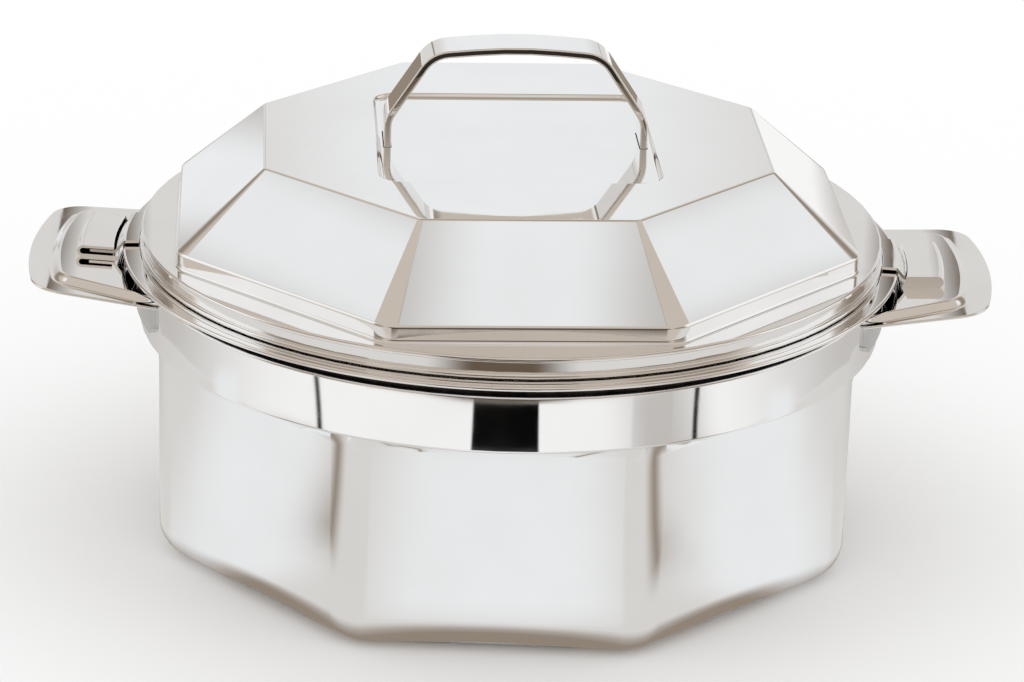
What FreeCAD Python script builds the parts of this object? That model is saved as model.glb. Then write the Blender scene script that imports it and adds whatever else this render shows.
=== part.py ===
"""Insulated serving casserole: octagonal double-walled pot, octagonal domed lid with a
strap handle, twist-lock tabs and two side handles that carry the catches.

Millimetres. +Z is up, the origin is the middle of the underside, +X points to the right
side handle. The lid is on and locked.
"""
import FreeCAD, Part
import math
import os
from FreeCAD import Vector

os.makedirs("parts", exist_ok=True)

# ---------------------------------------------------------------- general clearances
RUN_GAP = 0.3            # between pieces that move apart
FOAM_GAP = 0.2           # foam to the sheets around it
WELD_GAP = 0.02          # butt joint of two curved sheets
CUT = 40.0               # overrun of cutting solids
TOUCH = 1e-4             # points nearer than this are one

# ---------------------------------------------------------------- outer shell of the pot
SHELL_T = 0.8            # sheet
COLLAR_R = 124.4         # round collar under the rim
COLLAR_H = 19.1
COLLAR_TOP_EDGE_R = 0.8
COLLAR_LOW_EDGE_R = 1.8
NECK_SET_IN = 2.3        # neck above the collar, under the rim
FLAT_SET_IN = 10.1       # middle of each flat, behind the collar
BODY_CORNER_R = 18.2     # upright corners
BODY_BASE_R = 12.5       # lower edge
WALL_H = 70.0            # height of the flat walls
SHOULDER_H = 4.2         # from the flats out to the round collar
BASE_BORDER = 28.3       # ring of sheet round the opening in the bottom

# ---------------------------------------------------------------- rim and inner bowl
RIM_OVERHANG = 5.6       # outside of the rim, beyond the collar
BEAD_R = 0.75            # the hemmed edge
GROOVE_H = 4.1           # dark groove between the collar and the hem
LINER_T = 0.9
MOUTH_SET_IN = 8.3       # mouth inside the flats
MOUTH_EDGE_R = 3.0
BOWL_TAPER = 3.5         # bowl is narrower at the floor by this
BOWL_BASE_R = 24.0
FLOOR_FOAM = 8.3         # insulation between the base plate and the bowl

# ---------------------------------------------------------------- base plate and its plug
BASE_PLATE_T = 0.8
BASE_LAP = 4.0           # base plate overlaps the shell's bottom ring by this
BASE_DISH = 2.2          # middle of the base plate stands higher
BASE_DISH_INSET = 3.0    # foot of the dish inside the opening
BASE_DISH_SLOPE = 6.0
BASE_PLUG_R = 9.0
PLUG_LIP = 2.5
PLUG_LIP_T = 1.1
PLUG_DEPTH = 6.0

# ---------------------------------------------------------------- side handles
HANDLE_REACH = 31.3      # curved outer end, beyond the rim
HANDLE_T = 1.0
HANDLE_TILT_DEG = 5.0    # the outer end stands higher
HANDLE_CLOCK_DEG = 1.4   # round the pot, from the body's flats
HANDLE_DROP = 1.9        # top of the handle's rim below the top of the collar
HANDLE_ROOT_HALF = 46.2  # half width beside the collar
HANDLE_TIP_HALF = 40.5   # half width of the side lines where they reach the end
HANDLE_CORNER_R = 13.0
PANEL_RISE = 2.3         # raised middle panel
PANEL_SLOPE = 3.6        # width of the sloping step round it
PANEL_END_INSET = 6.8    # flat rim at the outer end
PANEL_ROOT_INSET = 2.4   # flat rim beside the collar
PANEL_SIDE_INSET = 6.6   # flat rim along the side, at the tip
PANEL_CORNER_R = 9.0

# ---------------------------------------------------------------- brackets under the handles
BRACKET_T = 1.4
BRACKET_HALF = 45.5      # half width of the upright leaf
BRACKET_LEAF_HALF = 30.0  # half width of the leaf under the panel
BRACKET_H = 12.4         # upright leaf, down from the panel's underside
BRACKET_REACH = 20.0     # the other leaf, out from the collar
BRACKET_CORNER_R = 3.0

# ---------------------------------------------------------------- catches on the handles
CATCH_T = 0.9
CATCH_CLEAR = 1.7        # bottom leaf starts this far outside the rim
CATCH_TOP_BACK = 1.8     # top leaf starts this much further out
CATCH_REACH = 14.0       # radial length
CATCH_GAP = 2.1          # slot for the lid's tongue
CATCH_CURL_R = 2.1
CATCH_HALF = 15.2        # half width round the rim

# ---------------------------------------------------------------- lid shell
LID_T = 0.8
LID_CLOCK = 5.0          # lid's octagon stands this many degrees round from the pot's
LID_SET_IN = 6.8         # skirt inside the rim's outer edge
CURL_R = 0.9             # curled lower edge of the skirt
CURL_OUT = 0.45          # its centre outside the skirt's face
SKIRT_H = 5.3            # seat to the underside of the flange edge
FLANGE_LIP = 0.7         # flange edge beyond the skirt
FLANGE_EDGE_H = 1.6
FLANGE_EDGE_R = 0.75
LID_LEDGE = 11.9         # skirt to the flats of the octagonal wall
LID_WALL_CORNER_R = 11.0
LID_WALL_H = 5.4
FACET_RISE = 25.4
FACET_RUN = 28.3
LID_TOP_CORNER_R = 2.6
WALL_FOOT_R = 1.1        # fold between flange and wall
WALL_HEAD_R = 1.5        # fold between wall and facets
TOP_EDGE_R = 1.6         # fold round the top plate
RECESS_HALF_X = 46.0
RECESS_HALF_Y = 46.8
RECESS_DEPTH = 1.2
RECESS_CORNER_R = 8.0
RECESS_SLOPE_DEG = 60.0  # its pressed sides
RECESS_FOOT_R = 1.4
RECESS_EDGE_R = 0.8

# ---------------------------------------------------------------- lid handle
STRAP_T = 2.4
STRAP_W = 17.0
STRAP_EDGE_R = 0.6
STRAP_INSET = 2.3        # outside of the legs, inside the recess
STRAP_KNEE_RISE = 8.5    # above the top plate
STRAP_KNEE_R = 11.0
STRAP_SHOULDER_IN = 15.1  # shoulder inside the leg's outer face
STRAP_SHOULDER_RISE = 31.4
STRAP_SHOULDER_R = 12.0
STRAP_CROWN_DEG = 5.0
STRAP_CROWN_R = 160.0
STRAP_FOOT = 13.0        # clenched foot under the recess floor
STRAP_FOOT_R = 2.9
SLOT_GAP = 0.2           # strap to its slot
CLENCH_T = 1.0           # plate between the recess floor and the foot
CLENCH_BORDER = 5.0      # plate round the slot

# ---------------------------------------------------------------- lid liner, seal and plug
LID_LINER_T = 0.8
SEAL_W = 3.3             # from the mouth in to the plug wall
PLUG_WALL_H = 8.4        # wall that goes down into the mouth
PLUG_EDGE_R = 2.2
DISH_EDGE_R = 2.4
DISH_RISE = 24.0         # dish above the liner's lower edge
DISH_RUN = 40.0
LINER_HEM = 0.25         # liner's rim inside the skirt
SEAL_H = 5.0
SEAL_LIP = 0.9
SEAL_NECK = 1.1
LID_PLUG_R = 6.0

# ---------------------------------------------------------------- lid tabs
TAB_T = 0.9
TAB_END_GAP = 0.8        # tab to the catch's closed end
TAB_LIFT = 0.4           # leaf above the seat
TAB_BEND_IN = 0.4        # upper bend, short of the rim's outside
TAB_SLOPE = 3.3          # run of the sloping part
TAB_BEND_R = 1.6
TONGUE_GAP = 0.6         # tongue above the catch's bottom leaf
TONGUE_END_GAP = 3.9     # tongue's end to the catch's back

# ---------------------------------------------------------------- sizes that follow
SIDES = 8
TURN = 360.0
BODY_FLAT = COLLAR_R - FLAT_SET_IN           # axis to each flat of the body
SHOULDER_R = (BODY_FLAT - BODY_CORNER_R) / math.cos(math.pi / SIDES) + BODY_CORNER_R
NECK_R = COLLAR_R - NECK_SET_IN
RIM_R = COLLAR_R + RIM_OVERHANG
MOUTH_R = BODY_FLAT - MOUTH_SET_IN
BASE_HOLE_R = BODY_FLAT - BASE_BORDER
HANDLE_END_R = RIM_R + HANDLE_REACH
CATCH_R = RIM_R + CATCH_CLEAR                # inner edge of the catch's bottom leaf
SKIRT_R = RIM_R - LID_SET_IN
FLANGE_R = SKIRT_R + FLANGE_LIP
LID_WALL_FLAT = SKIRT_R - LID_LEDGE
LID_TOP_FLAT = LID_WALL_FLAT - FACET_RUN
PLUG_WALL_R = MOUTH_R - SEAL_W
STRAP_HALF_SPAN = RECESS_HALF_X - STRAP_INSET
STRAP_SHOULDER_HALF = STRAP_HALF_SPAN - STRAP_SHOULDER_IN
TAB_HALF = CATCH_HALF - TAB_END_GAP

Z_BASE_DISH = SHELL_T + BASE_DISH            # underside of the base plate's middle
Z_BOWL_FLOOR = Z_BASE_DISH + BASE_PLATE_T + FLOOR_FOAM + LINER_T
Z_COLLAR_LOW = WALL_H + SHOULDER_H
Z_COLLAR_TOP = Z_COLLAR_LOW + COLLAR_H
Z_BEAD = Z_COLLAR_TOP + GROOVE_H + BEAD_R
Z_RIM = Z_BEAD + BEAD_R                      # top of the pot's rim
Z_SEAT = Z_RIM + RUN_GAP                     # underside of the lid
Z_FLANGE_LOW = Z_SEAT + SKIRT_H
Z_FLANGE = Z_FLANGE_LOW + FLANGE_EDGE_H
Z_WALL_HEAD = Z_FLANGE + LID_WALL_H
Z_TOP = Z_WALL_HEAD + FACET_RISE
Z_FLOOR = Z_TOP - RECESS_DEPTH               # recess floor
Z_CLENCH = Z_FLOOR - LID_T - CLENCH_T        # underside of the clench plates
Z_HANDLE = Z_COLLAR_TOP - HANDLE_DROP        # top of the handles' flat rim
Z_PANEL = Z_HANDLE + PANEL_RISE
Z_CATCH_TOP = Z_PANEL + CATCH_GAP + 2 * CATCH_T


# ================================================================ profile tools
def corner(before, at, after, radius):
    """Tangent points and mid point of a rounded corner, or None for a sharp one."""
    a = before.sub(at)
    b = after.sub(at)
    la, lb = a.Length, b.Length
    a.normalize()
    b.normalize()
    half = math.acos(max(-1.0, min(1.0, a.dot(b)))) / 2
    if radius <= 0 or math.pi / 2 - half < TOUCH:
        return None
    reach = min(radius / math.tan(half), 0.499 * la, 0.499 * lb)
    radius = reach * math.tan(half)
    bisector = a.add(b).normalize()
    centre = at.add(bisector * (radius / math.sin(half)))
    return at.add(a * reach), centre.sub(bisector * radius), at.add(b * reach)


def rounded(points, radii, closed=False):
    """Edges of a polyline whose inner corners are rounded."""
    count = len(points)
    edges, last = [], None
    first = None
    order = range(count) if closed else range(1, count - 1)
    if not closed:
        last = first = points[0]
    for i in order:
        arc = corner(points[i - 1], points[i], points[(i + 1) % count], radii[i])
        start, end = (arc[0], arc[2]) if arc else (points[i], points[i])
        if last is None:
            first = start
        elif last.distanceToPoint(start) > TOUCH:
            edges.append(Part.makeLine(last, start))
        if arc:
            edges.append(Part.Arc(*arc).toShape())
        last = end
    finish = first if closed else points[-1]
    if last.distanceToPoint(finish) > TOUCH:
        edges.append(Part.makeLine(last, finish))
    return edges


def unit_normals(points):
    """Left-hand normals of a polyline's runs in the XZ plane."""
    normals = []
    for a, b in zip(points, points[1:]):
        run = b.sub(a).normalize()
        normals.append(Vector(-run.z, 0, run.x))
    return normals


def beside(points, radii, offset):
    """A polyline parallel to another at a distance to its left, with its radii."""
    normals = unit_normals(points)
    out, out_radii = [], []
    for i, point in enumerate(points):
        n0 = normals[max(i - 1, 0)]
        n1 = normals[min(i, len(normals) - 1)]
        miter = n0.add(n1)
        out.append(point.add(miter * (2 * offset / miter.dot(miter))))
        turn = n0.z * n1.x - n0.x * n1.z
        change = offset if turn > 0 else -offset
        out_radii.append(max(radii[i] + change, 0.05) if radii[i] > 0 else 0)
    return out, out_radii


def rz(*pairs):
    """Points of the XZ plane from (radius, height) pairs."""
    return [Vector(r, 0, z) for r, z in pairs]


def sheet_face(points, radii, thickness):
    """Cross-section of bent sheet that lies to the left of a path."""
    far, far_radii = beside(points, radii, thickness)
    edges = rounded(points, radii)
    edges.append(Part.makeLine(points[-1], far[-1]))
    edges += rounded(far[::-1], far_radii[::-1])
    edges.append(Part.makeLine(far[0], points[0]))
    return Part.Face(Part.Wire(Part.__sortEdges__(edges)))


def closed_face(points, radii):
    return Part.Face(Part.Wire(Part.__sortEdges__(rounded(points, radii, closed=True))))


def spin(face, degrees=TURN, start=0.0):
    """Revolve an XZ profile about the axis, from a starting azimuth."""
    shape = face.copy()
    shape.rotate(Vector(), Vector(0, 0, 1), start)
    return shape.revolve(Vector(), Vector(0, 0, 1), degrees)


def drum(radius, low, high):
    return Part.makeCylinder(radius, high - low, Vector(0, 0, low))


def mirrored(shape):
    """The same piece half a turn round."""
    other = shape.copy()
    other.rotate(Vector(), Vector(0, 0, 1), 180)
    return other


def save(shape, node):
    if len(shape.Solids) == 1:
        shape = shape.Solids[0]
    shape.exportStep("parts/" + node + ".step")
    return shape


# ================================================================ octagons
def octagon_corners(flat, corner_r):
    """Half length of a straight side, and distance of the corner arcs' centres."""
    half = (flat - corner_r) * math.tan(math.pi / SIDES)
    return half, (flat - corner_r) / math.cos(math.pi / SIDES)


def polar(radius, degrees, z=0.0):
    a = math.radians(degrees)
    return Vector(radius * math.cos(a), radius * math.sin(a), z)


def octagon_wire(flat, corner_r, z):
    """Octagon with rounded corners, flats facing +X, +Y and between."""
    step = TURN / SIDES
    half, centre_r = octagon_corners(flat, corner_r)
    edges = []
    for k in range(SIDES):
        out = polar(1, k * step)
        along = Vector(-out.y, out.x, 0)
        mid = Vector(0, 0, z).add(out * flat)
        edges.append(Part.makeLine(mid.sub(along * half), mid.add(along * half)))
        far = polar(1, (k + 1) * step)
        centre = polar(centre_r, (k + 0.5) * step, z)
        start = mid.add(along * half)
        tip = centre.add(polar(corner_r, (k + 0.5) * step))
        end = Vector(0, 0, z).add(far * flat).sub(Vector(-far.y, far.x, 0) * half)
        edges.append(Part.Arc(start, tip, end).toShape())
    return Part.Wire(edges)


def circle_wire(radius, z, flat, corner_r):
    """Circle cut at the same places as an octagon, to loft to it."""
    step = TURN / SIDES
    half, _ = octagon_corners(flat, corner_r)
    spread = math.degrees(math.atan2(half, flat))
    edges = []
    for k in range(SIDES):
        for low, high in ((k * step - spread, k * step + spread),
                          (k * step + spread, (k + 1) * step - spread)):
            edges.append(Part.Arc(polar(radius, low, z), polar(radius, (low + high) / 2, z),
                                  polar(radius, high, z)).toShape())
    return Part.Wire(edges)


def octagon_prism(flat, corner_r, low, high):
    return Part.Face(octagon_wire(flat, corner_r, low)).extrude(Vector(0, 0, high - low))


def edges_at(shape, z):
    return [e for e in shape.Edges
            if abs(e.BoundBox.ZMin - z) < TOUCH and abs(e.BoundBox.ZMax - z) < TOUCH]


# ================================================================ pot
def pot_solid(inset, top):
    """The outer shell's form, set in by a distance, as a solid up to a height."""
    flat, corner_r = BODY_FLAT - inset, BODY_CORNER_R - inset
    walls = octagon_prism(flat, corner_r, inset, WALL_H)
    walls = walls.makeFillet(BODY_BASE_R - inset, edges_at(walls, inset))
    collar_low = Z_COLLAR_LOW + inset
    shoulder = Part.makeLoft([octagon_wire(flat, corner_r, WALL_H),
                              circle_wire(SHOULDER_R - inset, collar_low, flat, corner_r)],
                             True, True)
    low_edge, top_edge = (0, 0) if inset else (COLLAR_LOW_EDGE_R, COLLAR_TOP_EDGE_R)
    collar_top = Z_COLLAR_TOP - inset
    points = rz((0, collar_low), (COLLAR_R - inset, collar_low), (COLLAR_R - inset, collar_top),
                (NECK_R - inset, collar_top), (NECK_R - inset, top), (0, top))
    collar = spin(closed_face(points, [0, low_edge, top_edge, 0, 0, 0]))
    return walls.fuse([shoulder, collar]).removeSplitter()


def bowl_path():
    """Inner surface of the bowl from the rim to the middle of the floor."""
    points = rz((RIM_R - BEAD_R, Z_RIM), (MOUTH_R, Z_RIM), (MOUTH_R - BOWL_TAPER, Z_BOWL_FLOOR),
                (0, Z_BOWL_FLOOR))
    return points, [0, MOUTH_EDGE_R, BOWL_BASE_R, 0]


def bowl_radius(z):
    """Inside radius of the tapering bowl at a height."""
    return MOUTH_R - BOWL_TAPER * (Z_RIM - z) / (Z_RIM - Z_BOWL_FLOOR)


def outer_shell():
    neck_top = Z_RIM - LINER_T
    shell = pot_solid(0, neck_top).cut(pot_solid(SHELL_T, neck_top + CUT))
    return shell.cut(drum(BASE_HOLE_R, -CUT, SHELL_T + FOAM_GAP))


def inner_bowl():
    """Drawn bowl with a level rim, hemmed at its outer edge."""
    points, radii = bowl_path()
    bowl = spin(sheet_face(points, radii, LINER_T))
    hem = Part.makeTorus(RIM_R - BEAD_R, BEAD_R, Vector(0, 0, Z_BEAD))
    return bowl.fuse(hem).removeSplitter()


def base_plate():
    """Dished disc that closes the bottom from inside, with a filling hole."""
    edge = BASE_HOLE_R + BASE_LAP
    dish = BASE_HOLE_R - BASE_DISH_INSET
    points = rz((BASE_PLUG_R, Z_BASE_DISH), (dish - BASE_DISH_SLOPE, Z_BASE_DISH),
                (dish, SHELL_T), (edge, SHELL_T))
    return spin(sheet_face(points, [0, 0, 0, 0], BASE_PLATE_T))


def filler_plug(radius, low):
    """Push-in plug from below: a lip under the sheet and a stem through it."""
    lip = radius + PLUG_LIP
    stem = radius - FOAM_GAP
    points = rz((0, low - PLUG_LIP_T), (lip, low - PLUG_LIP_T), (lip, low), (stem, low),
                (stem, low + PLUG_DEPTH), (0, low + PLUG_DEPTH))
    return spin(closed_face(points, [0] * len(points)))


def body_insulation():
    """Foam between the shells; it stops below the bend of the bowl's mouth."""
    inset = SHELL_T + FOAM_GAP
    foam = pot_solid(inset, Z_RIM - MOUTH_EDGE_R - FOAM_GAP)
    points, radii = bowl_path()
    far, far_radii = beside(points[1:], radii[1:], LINER_T + FOAM_GAP)
    hollow = [far[0].add(Vector(0, 0, CUT))] + far + [Vector(0, 0, Z_RIM + CUT)]
    foam = foam.cut(spin(closed_face(hollow, [0, 0] + far_radii[1:] + [0])))
    plate_top = SHELL_T + BASE_PLATE_T + FOAM_GAP
    foam = foam.cut(drum(BASE_HOLE_R + BASE_LAP + FOAM_GAP, -CUT, plate_top))
    foam = foam.cut(drum(BASE_HOLE_R - BASE_DISH_INSET, -CUT, plate_top + BASE_DISH))
    return foam.cut(drum(BASE_PLUG_R, -CUT, Z_BASE_DISH + PLUG_DEPTH + FOAM_GAP))


# ================================================================ side handles
def tongue_prism(root_half, tip_half, end_r, corner_r, z):
    """Plan of a handle: tapering sides, a curved end and two rounded corners."""
    root_x = NECK_R - CUT
    slope = (root_half - tip_half) / (end_r - COLLAR_R)
    wide = root_half + slope * (COLLAR_R - root_x)
    narrow = tip_half - slope * CUT
    tip_x = end_r + CUT
    outline = Part.makePolygon([Vector(root_x, -wide, z), Vector(tip_x, -narrow, z),
                                Vector(tip_x, narrow, z), Vector(root_x, wide, z),
                                Vector(root_x, -wide, z)])
    plan = Part.Face(outline).common(Part.Face(Part.Wire(
        Part.makeCircle(end_r, Vector(0, 0, z)))))
    prism = plan.extrude(Vector(0, 0, HANDLE_T))
    ends = [e for e in prism.Edges
            if e.BoundBox.ZLength > HANDLE_T / 2 and e.BoundBox.XMin > COLLAR_R]
    return prism.makeFillet(corner_r, ends)


def plan_wire(prism, z):
    face = [f for f in prism.Faces
            if abs(f.BoundBox.ZMin - z) < TOUCH and abs(f.BoundBox.ZMax - z) < TOUCH][0]
    return face.OuterWire


def panel_solid(inset, top, base):
    """Raised panel as a solid with sloping sides, set in by a distance."""
    wires = []
    for z, grow in ((base, 0), (top, PANEL_SLOPE)):
        step = inset + grow
        prism = tongue_prism(HANDLE_ROOT_HALF - PANEL_ROOT_INSET - step,
                             HANDLE_TIP_HALF - PANEL_SIDE_INSET - step,
                             HANDLE_END_R - PANEL_END_INSET - step,
                             PANEL_CORNER_R - grow / 2, z)
        wires.append(plan_wire(prism, z))
    return Part.makeLoft(wires, True, True)


def tilted(shape):
    """Raise the outer end of a piece about the handle's root."""
    shape.rotate(Vector(COLLAR_R, 0, Z_HANDLE), Vector(0, 1, 0), -HANDLE_TILT_DEG)
    return shape


def on_pot(shape):
    """Turn a piece round the pot with the handle."""
    shape.rotate(Vector(), Vector(0, 0, 1), HANDLE_CLOCK_DEG)
    return shape


def side_handle():
    low = Z_HANDLE - HANDLE_T
    plate = tongue_prism(HANDLE_ROOT_HALF, HANDLE_TIP_HALF, HANDLE_END_R,
                         HANDLE_CORNER_R, low)
    plate = plate.fuse(panel_solid(0, Z_PANEL, Z_HANDLE))
    plate = tilted(plate.cut(panel_solid(HANDLE_T / 2, Z_PANEL - HANDLE_T, low)))
    return on_pot(plate.cut(drum(COLLAR_R + WELD_GAP, -CUT, Z_PANEL + CUT)).removeSplitter())


def handle_bracket():
    """Angle under the handle: one leaf hugs the collar, one lies under the panel."""
    top, under = Z_PANEL - HANDLE_T, Z_HANDLE - HANDLE_T
    inside = COLLAR_R + WELD_GAP
    low, wide = top - BRACKET_H, BRACKET_LEAF_HALF + CUT
    spread = math.degrees(math.asin(BRACKET_HALF / COLLAR_R))
    points = rz((inside, low), (inside + BRACKET_T, low), (inside + BRACKET_T, Z_PANEL),
                (inside, Z_PANEL))
    upright = spin(closed_face(points, [0] * len(points)), 2 * spread, -spread)
    corners = [e for e in edges_at(upright, low) if e.Length < 2 * BRACKET_T]
    upright = upright.makeFillet(BRACKET_CORNER_R, corners)
    upright = upright.cut(tilted(Part.makeBox(2 * CUT, 2 * wide, CUT, Vector(COLLAR_R - CUT, -wide, top))))
    for start in (-wide, BRACKET_LEAF_HALF):
        beyond = Part.makeBox(2 * CUT, CUT, CUT, Vector(COLLAR_R - CUT, start, under))
        upright = upright.cut(tilted(beyond))
    leaf = Part.makeBox(BRACKET_REACH + CUT, 2 * BRACKET_LEAF_HALF, BRACKET_T,
                        Vector(inside - CUT, -BRACKET_LEAF_HALF, top - BRACKET_T))
    leaf = tilted(leaf).cut(drum(inside, low - CUT, top + CUT))
    return on_pot(upright.fuse(leaf).removeSplitter())


def catch():
    """C-shaped clip of bent sheet, open towards the pot, with a stop at one end."""
    out = CATCH_R + CATCH_REACH
    points = rz((CATCH_R, Z_PANEL), (out, Z_PANEL), (out, Z_CATCH_TOP),
                (CATCH_R + CATCH_TOP_BACK, Z_CATCH_TOP))
    radii = [0, CATCH_CURL_R, CATCH_CURL_R, 0]
    spread = math.degrees(math.asin(CATCH_HALF / RIM_R))
    stop = math.degrees(CATCH_T / RIM_R)
    start = -spread - HANDLE_CLOCK_DEG
    clip = spin(sheet_face(points, radii, CATCH_T), 2 * spread, start)
    wall = spin(closed_face(points, radii), stop, start - stop)
    return on_pot(tilted(clip.fuse(wall).removeSplitter()))


# ================================================================ lid
def lid_frustum(inset, low):
    """Octagonal wall and sloping facets, all surfaces set in by a distance."""
    slant = math.hypot(FACET_RISE, FACET_RUN)
    head = Z_WALL_HEAD + inset * (FACET_RISE - slant) / FACET_RUN
    top_flat = LID_TOP_FLAT + inset * (FACET_RUN - slant) / FACET_RISE
    wall_flat = LID_WALL_FLAT - inset
    wall_r = LID_WALL_CORNER_R - inset
    wall = octagon_prism(wall_flat, wall_r, low, head)
    top_r = max(LID_TOP_CORNER_R - inset, TOP_EDGE_R / 2)
    facets = Part.makeLoft([octagon_wire(wall_flat, wall_r, head),
                            octagon_wire(top_flat, top_r, Z_TOP - inset)], True, True)
    return wall.fuse(facets).removeSplitter(), head


def recess_block(grow):
    """Cutter for the recess in the top plate: sloping sides with a rounded foot."""
    slope = math.radians(RECESS_SLOPE_DEG)
    low, high = Z_TOP - RECESS_DEPTH - grow, Z_TOP + RECESS_DEPTH
    foot = RECESS_CORNER_R - RECESS_DEPTH / math.tan(slope) + grow * math.tan(slope / 2)
    head = foot + (high - low) / math.tan(slope)
    points = rz((0, low), (foot, low), (head, high), (0, high))
    side = closed_face(points, [0, RECESS_FOOT_R + grow, 0, 0])
    half_x, half_y = RECESS_HALF_X - RECESS_CORNER_R, RECESS_HALF_Y - RECESS_CORNER_R
    block = Part.makeBox(2 * half_x, 2 * half_y, high - low, Vector(-half_x, -half_y, low))
    quarter = TURN / 4
    pieces = []
    for k, (sx, sy) in enumerate(((1, 1), (-1, 1), (-1, -1), (1, -1))):
        centre = Vector(sx * half_x, sy * half_y, 0)
        bend = spin(side, quarter, k * quarter)
        bend.translate(centre)
        wall = side.copy()
        wall.rotate(Vector(), Vector(0, 0, 1), k * quarter)
        wall.translate(centre)
        back = polar(-2 * (half_y if k % 2 == 0 else half_x), (k + 1) * quarter)
        pieces += [bend, wall.extrude(back)]
    return block.fuse(pieces).removeSplitter()


def clocked(shape):
    """Turn a piece with the lid's octagon."""
    shape.rotate(Vector(), Vector(0, 0, 1), LID_CLOCK)
    return shape


def lid_outside():
    body, head = lid_frustum(0, Z_FLANGE - LID_T)
    body = body.makeFillet(WALL_HEAD_R, edges_at(body, head))
    body = body.makeFillet(TOP_EDGE_R, edges_at(body, Z_TOP))
    body = body.cut(recess_block(0))
    rim = [e for e in edges_at(body, Z_TOP)
           if e.BoundBox.XMax < RECESS_HALF_X + RUN_GAP
           and e.BoundBox.XMin > -RECESS_HALF_X - RUN_GAP
           and abs(e.BoundBox.YMax) < RECESS_HALF_Y + RUN_GAP
           and abs(e.BoundBox.YMin) < RECESS_HALF_Y + RUN_GAP]
    body = body.makeFillet(RECESS_EDGE_R, rim)
    return clocked(body)


def lid_brim():
    """Round flange edge and skirt with a curled lower edge, as a solid of revolution."""
    curl_z = Z_SEAT + CURL_R
    points = rz((0, curl_z), (SKIRT_R, curl_z), (SKIRT_R, Z_FLANGE_LOW), (FLANGE_R, Z_FLANGE_LOW),
                (FLANGE_R, Z_FLANGE), (0, Z_FLANGE))
    return spin(closed_face(points, [0, 0, 0, 0, FLANGE_EDGE_R, 0]))


def slot_blocks(border, low, high):
    """Two blocks round the strap's legs, with a border outside their slots."""
    wide = STRAP_T + 2 * (SLOT_GAP + border)
    long_side = STRAP_W + 2 * (SLOT_GAP + border)
    mid = STRAP_HALF_SPAN - STRAP_T / 2
    block = clocked(Part.makeBox(wide, long_side, high - low,
                                 Vector(mid - wide / 2, -long_side / 2, low)))
    return [block, mirrored(block)]


def lid_shell():
    outside = lid_brim().fuse(lid_outside())
    foot = [e for e in outside.Edges
            if abs(e.BoundBox.ZMin - Z_FLANGE) < TOUCH and abs(e.BoundBox.ZMax - Z_FLANGE) < TOUCH
            and math.hypot(e.CenterOfMass.x, e.CenterOfMass.y) > LID_WALL_FLAT / 2]
    outside = outside.makeFillet(WALL_FOOT_R, foot)
    inside, _ = lid_frustum(LID_T, Z_FLANGE - 2 * LID_T)
    inside = clocked(inside.cut(recess_block(LID_T)))
    hollow = drum(SKIRT_R - LID_T, Z_SEAT - CUT, Z_FLANGE - LID_T)
    shell = outside.cut(hollow.fuse(inside))
    curl = Part.makeTorus(SKIRT_R + CURL_OUT, CURL_R, Vector(0, 0, Z_SEAT + CURL_R))
    return shell.fuse(curl).cut(slot_blocks(0, Z_FLOOR - LID_T, Z_FLOOR)).removeSplitter()


def liner_path():
    """Upper surface of the lid's liner, from its outer edge in to the middle."""
    low = Z_SEAT - PLUG_WALL_H + LID_LINER_T
    outer = SKIRT_R - LID_T - LINER_HEM
    wall_r = PLUG_WALL_R - LID_LINER_T
    points = rz((outer, Z_SEAT + LID_LINER_T), (wall_r, Z_SEAT + LID_LINER_T), (wall_r, low),
                (wall_r - DISH_RUN, low + DISH_RISE), (LID_PLUG_R, low + DISH_RISE))
    return points, [0, PLUG_EDGE_R, DISH_EDGE_R, 0, 0]


def lid_liner():
    points, radii = liner_path()
    return spin(sheet_face(points, radii, LID_LINER_T))


def seal_ring():
    """Soft ring round the lid's plug, with a lip above and below that meets the mouth."""
    inner = PLUG_WALL_R + RUN_GAP
    neck = inner + SEAL_NECK
    high = Z_SEAT - RUN_GAP - MOUTH_EDGE_R
    low = high - SEAL_H
    outer = bowl_radius(low) - RUN_GAP
    points = rz((inner, low), (outer, low), (outer, low + SEAL_LIP), (neck, low + 2 * SEAL_LIP),
                (neck, high - 2 * SEAL_LIP), (outer, high - SEAL_LIP), (outer, high), (inner, high))
    return spin(closed_face(points, [0] * len(points)))


def lid_insulation():
    """Foam that fills the lid, with pockets for the clench plates and the strap's feet."""
    inset = LID_T + FOAM_GAP
    foam, _ = lid_frustum(inset, Z_FLANGE - 2 * LID_T)
    foam = clocked(foam.cut(recess_block(inset)))
    foot_low = Z_CLENCH - SLOT_GAP - STRAP_T
    foam = foam.cut(slot_blocks(STRAP_FOOT, foot_low - FOAM_GAP, Z_FLOOR))
    foam = foam.fuse(drum(SKIRT_R - inset, Z_SEAT, Z_FLANGE - inset))
    points, radii = liner_path()
    near, near_radii = beside(points, radii, -FOAM_GAP)
    low = Z_SEAT - CUT
    under = [Vector(near[0].x + CUT, 0, low), Vector(near[0].x + CUT, 0, near[0].z)] + near[1:-1]
    under += [Vector(0, 0, near[-1].z), Vector(0, 0, low)]
    foam = foam.cut(spin(closed_face(under, [0, 0] + near_radii[1:-1] + [0, 0])))
    plug_top = points[-1].z - LID_LINER_T + PLUG_DEPTH + FOAM_GAP
    return foam.cut(drum(LID_PLUG_R, Z_SEAT, plug_top)).removeSplitter()


def clench_plate():
    """Plate under the recess floor, with a slot for one leg of the strap."""
    high = Z_CLENCH + CLENCH_T
    plate = slot_blocks(CLENCH_BORDER, Z_CLENCH, high)[0]
    return plate.cut(slot_blocks(0, Z_CLENCH, high)[0])


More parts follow.
